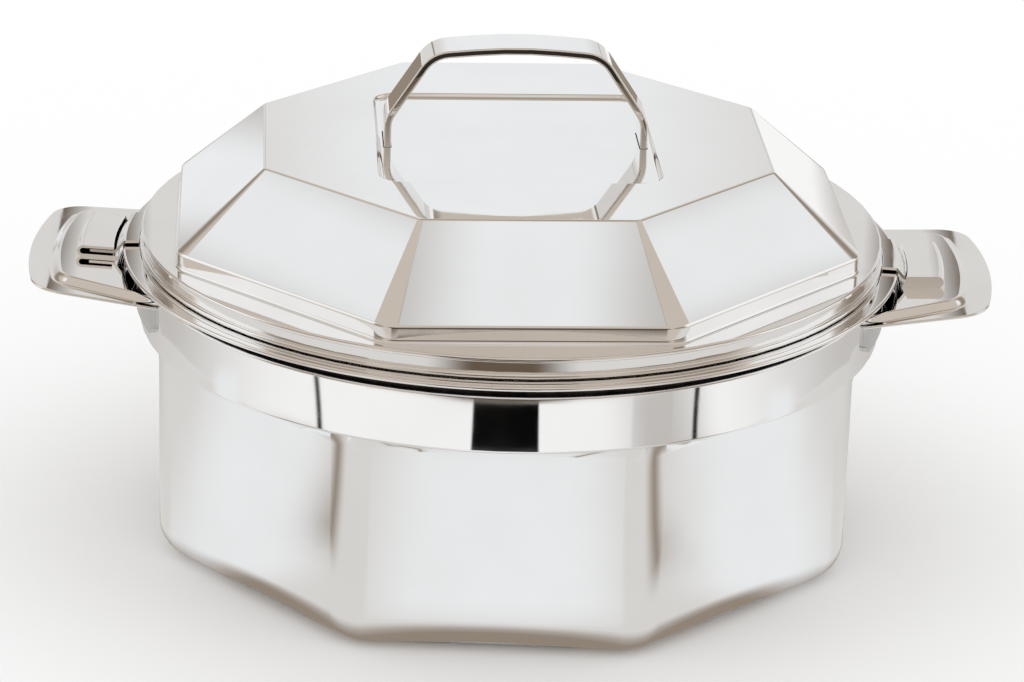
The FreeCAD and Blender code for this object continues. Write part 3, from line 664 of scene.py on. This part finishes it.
def lid_shell(material):
    bm = bmesh.new()
    outside = skin(bm, [lid_circle(p[0], p[1]) for p in brim_profile()] + facet_rings())
    inside = skin(bm, inner_lid_rings())
    for i, vert in enumerate(outside[0]):
        j = (i + 1) % len(outside[0])
        bm.faces.new((vert, outside[0][j], inside[0][j], inside[0][i]))
    recess = skin(bm, recess_rings())
    under = skin(bm, [rect_ring(RECESS_HALF_X + LID_T, RECESS_HALF_Y + LID_T, RECESS_CORNER_R + LID_T, z)
                      for z in (Z_TOP - LID_T, Z_FLOOR - LID_T)])
    fill(bm, outside[-1], recess[0])
    fill(bm, inside[-1], under[0])
    slots = [skin(bm, pair) for pair in zip(slot_rings(Z_FLOOR), slot_rings(Z_FLOOR - LID_T))]
    fill(bm, recess[-1], slots[0][0], slots[1][0])
    fill(bm, under[-1], slots[0][1], slots[1][1])
    return piece("lid_shell_polished", bm, "lid", "polished_steel", material, "lid_shell")


def lid_liner(material):
    low = Z_SEAT - PLUG_WALL_H + LID_LINER_T
    outer = SKIRT_R - LID_T - LINER_HEM
    wall_r = PLUG_WALL_R - LID_LINER_T
    points = [(outer, Z_SEAT + LID_LINER_T), (wall_r, Z_SEAT + LID_LINER_T), (wall_r, low),
              (wall_r - DISH_RUN, low + DISH_RISE), (LID_PLUG_R, low + DISH_RISE)]
    profile = sheet_outline(points, [0, PLUG_EDGE_R, DISH_EDGE_R, 0, 0], LID_LINER_T)
    return piece("lid_liner_satin", lathe(profile), "lid", "inner_steel", material, "lid_liner")


def strap_path():
    """Outer face of the strap, from its right foot over the arch to its left foot."""
    under = strap_low.z
    half, knee = STRAP_HALF_SPAN, Z_TOP + STRAP_KNEE_RISE
    shoulder, shoulder_half = Z_TOP + STRAP_SHOULDER_RISE, STRAP_HALF_SPAN - STRAP_SHOULDER_IN
    apex = shoulder + shoulder_half * math.tan(STRAP_CROWN)
    right = [(half - STRAP_FOOT, under), (half, under), (half, knee), (shoulder_half, shoulder)]
    points = right + [(0, apex)] + [(-r, z) for r, z in right[::-1]]
    radii = [0, STRAP_FOOT_R, STRAP_KNEE_R, STRAP_SHOULDER_R]
    return points, radii + [STRAP_CROWN_R] + radii[::-1]


def lid_handle(material):
    """Flat strap with rounded long edges."""
    points, radii = strap_path()
    bm = bmesh.new()
    rings = []
    for side in (-1, 1):
        for k in range(EDGE_STEPS + 1):
            a = math.pi / 2 * (EDGE_STEPS - k if side < 0 else k) / EDGE_STEPS
            inset = STRAP_EDGE_R * (1 - math.cos(a))
            path, path_radii = beside(points, radii, inset)
            outline = sheet_outline(path, path_radii, STRAP_T - 2 * inset)
            y = side * (STRAP_W / 2 - STRAP_EDGE_R * (1 - math.sin(a)))
            rings.append(clocked([Vector((p[0], y, p[1])) for p in outline]))
    rows = skin(bm, rings)
    cap(bm, rows[0])
    cap(bm, rows[-1])
    return piece("lid_handle_strap", bm, "lid", "polished_steel", material, "lid_handle")


def tongue_height(radius):
    """Top of the tongue, parallel to the handle's panel."""
    over_panel = PANEL_RISE + CATCH_T + TONGUE_GAP + TAB_T
    return Z_HANDLE + (radius - COLLAR_R) * math.tan(HANDLE_TILT) + over_panel / math.cos(HANDLE_TILT)


def lid_tab(material, side):
    """Tongue that passes over the rim, bends down and enters the catch."""
    leaf = Z_SEAT + TAB_LIFT + TAB_T
    bend = RIM_R - TAB_BEND_IN
    low_bend = bend + TAB_SLOPE
    end = CATCH_R + CATCH_REACH - CATCH_T - TONGUE_END_GAP
    start = SKIRT_R + CURL_OUT + CURL_R + WELD_GAP
    points = [(end, tongue_height(end)), (low_bend, tongue_height(low_bend)), (bend, leaf),
              (start, leaf)]
    spread = math.asin(TAB_HALF / RIM_R)
    outline = sheet_outline(points, [0, TAB_BEND_R, TAB_BEND_R, 0], TAB_T, SHEET_EDGE_R)
    return both_sides(sector(outline, -spread, 2 * spread), side, "lid_tab", "lid", material)


# ================================================================== materials
def material(name, colour, metallic, roughness):
    mat = bpy.data.materials.new(name)
    mat.use_nodes = True
    shader = mat.node_tree.nodes["Principled BSDF"]
    shader.inputs["Base Color"].default_value = (*colour, 1)
    shader.inputs["Metallic"].default_value = metallic
    shader.inputs["Roughness"].default_value = roughness
    return mat, mat.node_tree, shader


def noise(tree, scale, detail=3.0, stretch=(1, 1, 1)):
    """Noise in the piece's own coordinates, in cycles per metre."""
    place = tree.nodes.new("ShaderNodeTexCoord")
    mapping = tree.nodes.new("ShaderNodeMapping")
    mapping.inputs["Scale"].default_value = stretch
    texture = tree.nodes.new("ShaderNodeTexNoise")
    texture.inputs["Scale"].default_value = scale
    texture.inputs["Detail"].default_value = detail
    tree.links.new(place.outputs["Object"], mapping.inputs["Vector"])
    tree.links.new(mapping.outputs["Vector"], texture.inputs["Vector"])
    return texture.outputs["Fac"]


def cells(tree, scale):
    place = tree.nodes.new("ShaderNodeTexCoord")
    texture = tree.nodes.new("ShaderNodeTexVoronoi")
    texture.inputs["Scale"].default_value = scale
    tree.links.new(place.outputs["Object"], texture.inputs["Vector"])
    return texture.outputs["Distance"]


def spread(tree, value, socket, low, high):
    """Carry a value from 0.3 to 0.7 onto a range of a socket."""
    ramp = tree.nodes.new("ShaderNodeMapRange")
    ramp.inputs["From Min"].default_value = 0.3
    ramp.inputs["From Max"].default_value = 0.7
    ramp.inputs["To Min"].default_value = low
    ramp.inputs["To Max"].default_value = high
    tree.links.new(value, ramp.inputs["Value"])
    tree.links.new(ramp.outputs["Result"], socket)


def tinted(tree, value, shader, dark, light):
    ramp = tree.nodes.new("ShaderNodeValToRGB")
    ramp.color_ramp.elements[0].position = 0.3
    ramp.color_ramp.elements[1].position = 0.7
    ramp.color_ramp.elements[0].color = (*dark, 1)
    ramp.color_ramp.elements[1].color = (*light, 1)
    tree.links.new(value, ramp.inputs["Fac"])
    tree.links.new(ramp.outputs["Color"], shader.inputs["Base Color"])


def raised(tree, shader, *layers):
    """Bumps one over another: each a value and its height in metres."""
    under = None
    for value, height in layers:
        bump = tree.nodes.new("ShaderNodeBump")
        bump.inputs["Distance"].default_value = height
        tree.links.new(value, bump.inputs["Height"])
        if under is not None:
            tree.links.new(under, bump.inputs["Normal"])
        under = bump.outputs["Normal"]
    tree.links.new(under, shader.inputs["Normal"])


def polished_steel():
    """Mirror polish: faint waviness of pressed sheet, buffing haze and hairlines."""
    mat, tree, shader = material("polished_steel", (0.90, 0.90, 0.89), 1.0, 0.03)
    tinted(tree, noise(tree, 30), shader, (0.885, 0.88, 0.87), (0.915, 0.912, 0.906))
    spread(tree, noise(tree, 55, 6), shader.inputs["Roughness"], 0.018, 0.055)
    raised(tree, shader, (noise(tree, 11, 1), 2.5e-5), (noise(tree, 900, 2, (1, 1, 14)), 2e-7))
    return mat


def brushed(name, dark, light, rough, grain, stretch):
    """Steel with a directional grain."""
    mat, tree, shader = material(name, light, 1.0, rough)
    lines = noise(tree, grain, 4, stretch)
    tinted(tree, lines, shader, dark, light)
    spread(tree, noise(tree, 120, 4), shader.inputs["Roughness"], rough * 0.8, rough * 1.25)
    raised(tree, shader, (lines, 3e-6))
    return mat


def groove_painted_shade():
    """Rough steel painted near black down in the groove under the rim: painted shade for the deep shadow
    there.
    """
    mat, tree, shader = material("groove_painted_shade", (0.08, 0.075, 0.07), 1.0, 0.45)
    tinted(tree, noise(tree, 200, 4), shader, (0.03, 0.028, 0.026), (0.10, 0.095, 0.09))
    raised(tree, shader, (noise(tree, 700, 3), 1e-5))
    return mat


def moulded(name, dark, light, rough, grain, height, cellular=False):
    """Rubber, plastic or foam with its surface grain."""
    mat, tree, shader = material(name, light, 0.0, rough)
    texture = cells(tree, grain) if cellular else noise(tree, grain, 5)
    tinted(tree, noise(tree, grain / 8, 4), shader, dark, light)
    spread(tree, noise(tree, grain / 3, 3), shader.inputs["Roughness"],
           rough * 0.85, min(1, rough * 1.15))
    raised(tree, shader, (texture, height))
    return mat


def dress(mat, *names):
    """Give CAD nodes that stay a better material in each of their material slots."""
    for name in names:
        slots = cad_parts[name].data.materials
        for i in range(len(slots)):
            slots[i] = mat


# ================================================================== studio
CAM_DISTANCE = 1266.67 * MM     # across the floor, from the pot's axis
CAM_HEIGHT = 553.56 * MM
CAM_YAW = math.radians(0.055)
CAM_PITCH = math.radians(-21.131)
CAM_ROLL = math.radians(1.672)
POT_TURN = math.radians(-1.125)  # the pot stands this much round from facing the camera
FOCAL_PX = 3999.94
FRAME_PX = 1024
SENSOR_MM = 36
VIEW_END = 50            # nothing further off than this is drawn (m)
ROOM_R = 4.0
ROOM_STEP = 1.0
FLOOR_STEP = 0.25
FLOOR_LIFT = -0.0001
FLOOR_LOW = -0.0002
FLOOR_HALF = 3.5
CLOTH_IN = 90            # grey cloth under the pot: radius from and to (mm)
CLOTH_OUT = 402
PANEL_IN = 287           # white panels on it
PANEL_OUT = 352
ROOM_EDGE = 3200         # edge of the floor
PANEL_GAP_SOFT = 0.4
PANEL_END_SOFT = 3
BOX_STEPS = 24
BOX_FRAME = 0.006


def make_camera():
    """Camera in front of the pot, a little above it, looking down."""
    data = bpy.data.cameras.new("camera")
    data.sensor_width = SENSOR_MM
    data.lens = FOCAL_PX / FRAME_PX * data.sensor_width
    data.clip_end = VIEW_END
    cam = bpy.data.objects.new("camera", data)
    bpy.context.scene.collection.objects.link(cam)
    forward = Vector((math.sin(CAM_YAW) * math.cos(CAM_PITCH), math.cos(CAM_YAW) * math.cos(CAM_PITCH),
                      math.sin(CAM_PITCH)))
    right = Vector((math.cos(CAM_YAW), -math.sin(CAM_YAW), 0))
    up = right.cross(forward)
    right, up = (right * math.cos(CAM_ROLL) + up * math.sin(CAM_ROLL),
                 up * math.cos(CAM_ROLL) - right * math.sin(CAM_ROLL))
    place = Matrix((right, up, -forward)).transposed().to_4x4()
    place.translation = Vector((0, -CAM_DISTANCE, CAM_HEIGHT))
    cam.matrix_world = Matrix.Rotation(-POT_TURN, 4, "Z") @ place
    bpy.context.scene.camera = cam


SCREEN_GAMMA = 2.2


def warm(level, warmth=0.0):
    """Light of a card by its level on a screen from 0 to 1, a little warmer if asked."""
    return tuple(min(1.0, (level * (1 - warmth * share)) ** SCREEN_GAMMA) for share in (0, 1, 2))


# The studio's few tones, each by its level on a screen
WHITE = warm(0.99)
COOL = warm(0.945, -0.008)
PALE = warm(0.87, 0.01)
SHADE = warm(0.78, 0.015)
BEIGE = warm(0.80, 0.055)
TAN = warm(0.58, 0.085)
BROWN = warm(0.40, 0.13)
DARK = warm(0.20, 0.08)
BLACK = warm(0.07)


def ease(t):
    """Smooth step from 0 to 1."""
    t = max(0.0, min(1.0, t))
    return t * t * (3 - 2 * t)


def window(value, low, high, soft):
    """1 between two limits, 0 outside, with soft edges centred on the limits."""
    return ease((value - low) / soft + 0.5) * ease((high - value) / soft + 0.5)


def lay_over(colour, over, amount):
    """One tone laid over another, by an amount from 0 to 1."""
    return tuple(c + (o - c) * amount for c, o in zip(colour, over))


# Cards laid on the white floor round the pot, later ones over earlier ones: azimuth (0 towards
# the camera, + towards +X) and half width in degrees, radius from and to in mm, tone, softness
# in degrees and in mm
FLOOR_CARDS = [
    (0, 181, CLOTH_IN, PANEL_IN, PALE, 1, 4),            # grey cloth under the pot
    (-52, 6, 165, PANEL_IN, TAN, 16, 30),                # its folds at the front corners
    (45, 6, 165, PANEL_IN, TAN, 16, 30),
    (180, 70, CLOTH_IN, PANEL_IN, SHADE, 50, 4),         # shade behind the pot
    (180, 100, PANEL_IN, CLOTH_OUT, SHADE, 60, 4),
    (40, 10, PANEL_IN, PANEL_OUT, SHADE, 14, 4),         # greyer end of the right front panel
    (0, 181, PANEL_OUT, CLOTH_OUT, PALE, 1, 4),          # edge of the cloth
    (0, 14, PANEL_OUT, CLOTH_OUT, BROWN, 14, 4),         # table edge in front
    (0, 181, CLOTH_OUT, ROOM_EDGE, BEIGE, 1, 10),        # bare table and floor
    (180, 48, 900, ROOM_EDGE, WHITE, 12, 300),           # white sweep behind
    (166, 8, 450, 1100, TAN, 14, 160),                   # stools behind
    (-157, 8, 1300, 2800, TAN, 14, 300),
    (0, 17, 410, 2400, DARK, 5, 20),                     # camera stand
    (1, 8, PANEL_IN, PANEL_OUT, BLACK, 0.4, 3),          # black flag in front
    (0, 181, CLOTH_IN, 124, TAN, 1, 16),                 # shade at the pot's foot
]
# Narrow gaps between the white panels: azimuth and radius of the middle, half width, lean
PANEL_GAPS = [
    (-48.7, 320, 0.45, -0.056),
    (49.8, 320, 0.45, 0.040),
]
# Windows on the cloth: x from and to, y from and to, softness (mm)
FLOOR_WINDOWS = [
    (-40, 40, -290, -140, 34),
    (-300, -100, -96, -50, 30),
    (100, 300, -96, -50, 30),
]

# Cards and windows far away: azimuth, half width, elevation, half height in degrees, tone,
# softness in degrees
ROOM_CARDS = [
    (0, 30, 2, 10, TAN, 12),                 # dim room behind the camera
    (0, 22, 8, 12, BROWN, 1.5),              # camera stand
    (-60, 16, 10, 16, TAN, 12),
    (55, 18, 12, 16, TAN, 12),
    (-95, 16, 14, 26, WHITE, 6),             # tall windows left and right
    (100, 20, 14, 26, WHITE, 6),
    (180, 50, 4, 30, PALE, 16),              # pale backdrop
    (180, 36, 66, 12, TAN, 10),              # gap in the ceiling over it
    (135, 10, 26, 22, TAN, 14),              # stands at the back corners
    (-135, 10, 26, 22, TAN, 14),
]

# Soft boxes near the lid: name, point on the lid it is seen in, azimuth, elevation, distance,
# half width, half height (metres), turn in its plane, tone at its sides
SOFT_BOXES = [
    ("box_front", (0.008, -0.098, 0.124), 20.7, 75.5, 0.5, 0.078, 0.050, 0, SHADE),
    ("box_left", (-0.063, -0.074, 0.123), -108.3, 44.9, 0.5, 0.055, 0.060, 35, SHADE),
    ("box_right", (0.074, -0.064, 0.1235), 120.1, 37.4, 0.5, 0.052, 0.060, -30, SHADE),
    ("box_back_left", (-0.097, -0.010, 0.124), -155.9, 1.8, 0.5, 0.046, 0.034, 0, SHADE),
    ("box_back", (-0.001, -0.003, 0.137), -178.8, 18.4, 0.5, 0.180, 0.090, 0, PALE),
]


def glowing(name):
    """Emission that reads the tone kept with each corner."""
    mat = bpy.data.materials.new(name)
    mat.use_nodes = True
    tree = mat.node_tree
    tree.nodes.clear()
    out = tree.nodes.new("ShaderNodeOutputMaterial")
    emission = tree.nodes.new("ShaderNodeEmission")
    tones = tree.nodes.new("ShaderNodeAttribute")
    tones.attribute_name = "tone"
    tree.links.new(tones.outputs["Color"], emission.inputs["Color"])
    tree.links.new(emission.outputs["Emission"], out.inputs["Surface"])
    mat.cycles.emission_sampling = "NONE"
    return mat


def reflector(name, rows, tones, closed):
    """Glowing surface that only the steel sees: rows of points, each with its tone."""
    mesh = bpy.data.meshes.new(name)
    width = len(rows[0])
    faces = []
    for j in range(len(rows) - 1):
        for i in range(width if closed else width - 1):
            k = (i + 1) % width
            faces.append((j * width + i, j * width + k, (j + 1) * width + k, (j + 1) * width + i))
    mesh.from_pydata([p for row in rows for p in row], [], faces)
    layer = mesh.color_attributes.new("tone", "FLOAT_COLOR", "POINT")
    layer.data.foreach_set("color", [c for row in tones for colour in row for c in (*colour, 1)])
    mesh.materials.append(glowing(name))
    obj = bpy.data.objects.new(name, mesh)
    bpy.context.scene.collection.objects.link(obj)
    for ray in ("camera", "diffuse", "transmission", "volume_scatter", "shadow"):
        setattr(obj, "visible_" + ray, False)


def sky(azimuth, elevation):
    """Direction from azimuth (0 towards the camera) and elevation in degrees."""
    a, e = math.radians(azimuth), math.radians(elevation)
    return Vector((math.sin(a) * math.cos(e), -math.cos(a) * math.cos(e), math.sin(e)))


def floor_tone(azimuth, radius):
    """Tone of the floor round the pot, with its cards, gaps and windows."""
    a = math.radians(azimuth)
    x, y = radius * math.sin(a), -radius * math.cos(a)
    colour = WHITE
    for middle, half, inner, outer, over, soft, soft_mm in FLOOR_CARDS:
        turn = (azimuth - middle + 180) % 360 - 180
        amount = window(turn, -half, half, soft) * window(radius, inner, outer, soft_mm)
        colour = lay_over(colour, over, amount)
    for middle, at_radius, half, lean in PANEL_GAPS:
        shift = azimuth - middle - lean * (radius - at_radius)
        amount = window(shift, -half, half, PANEL_GAP_SOFT)
        amount *= window(radius, PANEL_IN, PANEL_OUT, PANEL_END_SOFT)
        colour = lay_over(colour, BLACK, amount)
    for left, right, near, far, soft in FLOOR_WINDOWS:
        colour = lay_over(colour, COOL, window(x, left, right, soft) * window(y, near, far, soft))
    return colour


def room_tone(azimuth, elevation):
    colour = BEIGE
    for middle, half, height, half_high, over, soft in ROOM_CARDS:
        turn = (azimuth - middle + 180) % 360 - 180
        amount = window(turn, -half, half, soft)
        amount *= window(elevation, height - half_high, height + half_high, soft)
        colour = lay_over(colour, over, amount)
    return colour


def floor_reflector():
    """Rings round the pot, closer together where a card has its edge."""
    radii = [108, 112, 117, 122, 127, 132, 138, 144, 150, 158, 166, 176, 188, 200, 215, 230, 245]
    radii += [260, 272, 280, 285, 287, 290, 293, 296, 299, 302, 305]
    radii += [308 + 3 * k for k in range(15)] + [352, 354, 360, 370]
    radii += [380, 390, 398, 401, 403, 406, 412, 430, 450, 466, 470, 474, 500, 560, 640, 760, 900]
    radii += [1050, 1200, 1500, 2000, 2600, 3200]
    azimuths = [-180 + FLOOR_STEP * k for k in range(round(360 / FLOOR_STEP))]
    rows = [[sky(a, 0) * (r * MM) + Vector((0, 0, FLOOR_LIFT)) for a in azimuths] for r in radii]
    reflector("floor_reflector", rows, [[floor_tone(a, r) for a in azimuths] for r in radii], True)


def room_reflector():
    heights = [-1 + ROOM_STEP * k for k in range(round(91 / ROOM_STEP) + 1)]
    azimuths = [-180 + ROOM_STEP * k for k in range(round(360 / ROOM_STEP))]
    rows = [[sky(a, min(e, 89.9)) * ROOM_R for a in azimuths] for e in heights]
    reflector("room_reflector", rows, [[room_tone(a, e) for a in azimuths] for e in heights], True)


def soft_box(name, seen_in, azimuth, elevation, distance, half_w, half_h, turn, side_tone):
    """Card square to the line along which the lid's face sees it."""
    line = sky(azimuth, elevation)
    across = line.cross(Vector((0, 0, 1))).normalized() if elevation < 70 else Vector((1, 0, 0))
    if across.x < 0:
        across = -across
    across = (across - line * across.dot(line)).normalized()
    upward = across.cross(line)
    if upward.z < 0:
        upward = -upward
    a = math.radians(turn)
    across, upward = (across * math.cos(a) + upward * math.sin(a),
                      upward * math.cos(a) - across * math.sin(a))
    middle = Vector(seen_in) + line * distance
    rows, colours = [], []
    for j in range(BOX_STEPS + 1):
        v = -1 + 2 * j / BOX_STEPS
        row, shades = [], []
        for i in range(BOX_STEPS + 1):
            u = -1 + 2 * i / BOX_STEPS
            row.append(middle + across * (half_w * u) + upward * (half_h * v))
            colour = lay_over(COOL, side_tone, ease(1.5 * abs(u) - 0.3))
            rim = max(abs(u) * half_w - half_w, abs(v) * half_h - half_h) + BOX_FRAME
            shades.append(lay_over(colour, BROWN, ease(rim / BOX_FRAME * 2 - 0.5)))
        rows.append(row)
        colours.append(shades)
    reflector(name, rows, colours, False)


def make_world():
    world = bpy.data.worlds.new("studio")
    bpy.context.scene.world = world
    world.use_nodes = True
    world.node_tree.nodes["Background"].inputs["Color"].default_value = (1, 1, 1, 1)
    world.node_tree.nodes["Background"].inputs["Strength"].default_value = 1.0


def make_floor():
    mesh = bpy.data.meshes.new("floor")
    corners = ((-1, -1), (1, -1), (1, 1), (-1, 1))
    mesh.from_pydata([(x * FLOOR_HALF, y * FLOOR_HALF, FLOOR_LOW) for x, y in corners],
                     [], [(0, 1, 2, 3)])
    floor = bpy.data.objects.new("floor", mesh)
    bpy.context.scene.collection.objects.link(floor)
    mat, tree, shader = material("floor", (0.8, 0.8, 0.8), 0, 0.9)
    shader.inputs["Specular IOR Level"].default_value = 0.0
    path = tree.nodes.new("ShaderNodeLightPath")
    mix = tree.nodes.new("ShaderNodeMix")
    mix.data_type = "RGBA"
    seen = path.outputs["Is Camera Ray"]
    for ray in ("Is Glossy Ray", "Is Transmission Ray"):
        either = tree.nodes.new("ShaderNodeMath")
        either.operation = "MAXIMUM"
        tree.links.new(seen, either.inputs[0])
        tree.links.new(path.outputs[ray], either.inputs[1])
        seen = either.outputs["Value"]
    tree.links.new(seen, mix.inputs["Factor"])
    mix.inputs[6].default_value = (0.8, 0.8, 0.8, 1)
    mix.inputs[7].default_value = (1, 1, 1, 1)
    tree.links.new(mix.outputs[2], shader.inputs["Base Color"])
    mesh.materials.append(mat)


# ================================================================== build
def main():
    """Dress the pieces, then set the camera, the light and the studio."""
    bpy.context.scene.view_settings.view_transform = "Standard"
    polished = polished_steel()
    satin = brushed("satin_steel", (0.69, 0.69, 0.68), (0.75, 0.75, 0.74),
                    rough=0.28, grain=500, stretch=(1, 1, 6))
    inside = brushed("bowl_satin", (0.87, 0.87, 0.86), (0.91, 0.91, 0.90),
                     rough=0.17, grain=260, stretch=(1, 1, 10))
    bracket = brushed("bracket_steel", (0.57, 0.57, 0.56), (0.62, 0.62, 0.61),
                      rough=0.16, grain=260, stretch=(1, 1, 12))
    base = brushed("base_steel", (0.68, 0.68, 0.67), (0.75, 0.75, 0.74),
                   rough=0.34, grain=400, stretch=(1, 5, 1))
    outer_shell(polished, groove_painted_shade())
    inner_bowl(polished, inside)
    for side in ("right", "left"):
        side_handle(polished, side)
        catch(polished, side)
        lid_tab(polished, side)
    lid_shell(polished)
    lid_liner(satin)
    lid_handle(polished)
    dress(bracket, "left_handle_bracket", "right_handle_bracket")
    dress(base, "base_plate", "left_clench_plate", "right_clench_plate")
    rubber = moulded("seal_rubber", (0.85, 0.85, 0.83), (0.90, 0.90, 0.88),
                     rough=0.55, grain=900, height=1e-5)
    foam = moulded("foam", (0.86, 0.79, 0.57), (0.92, 0.86, 0.65),
                   rough=0.9, grain=420, height=3e-4, cellular=True)
    plastic = moulded("plug_plastic", (0.10, 0.10, 0.10), (0.14, 0.14, 0.14),
                      rough=0.5, grain=1200, height=8e-6)
    dress(rubber, "seal_ring")
    dress(foam, "body_insulation", "lid_insulation")
    dress(plastic, "base_plug", "lid_plug")
    make_camera()
    make_world()
    make_floor()
    floor_reflector()
    room_reflector()
    for box in SOFT_BOXES:
        soft_box(*box)


main()
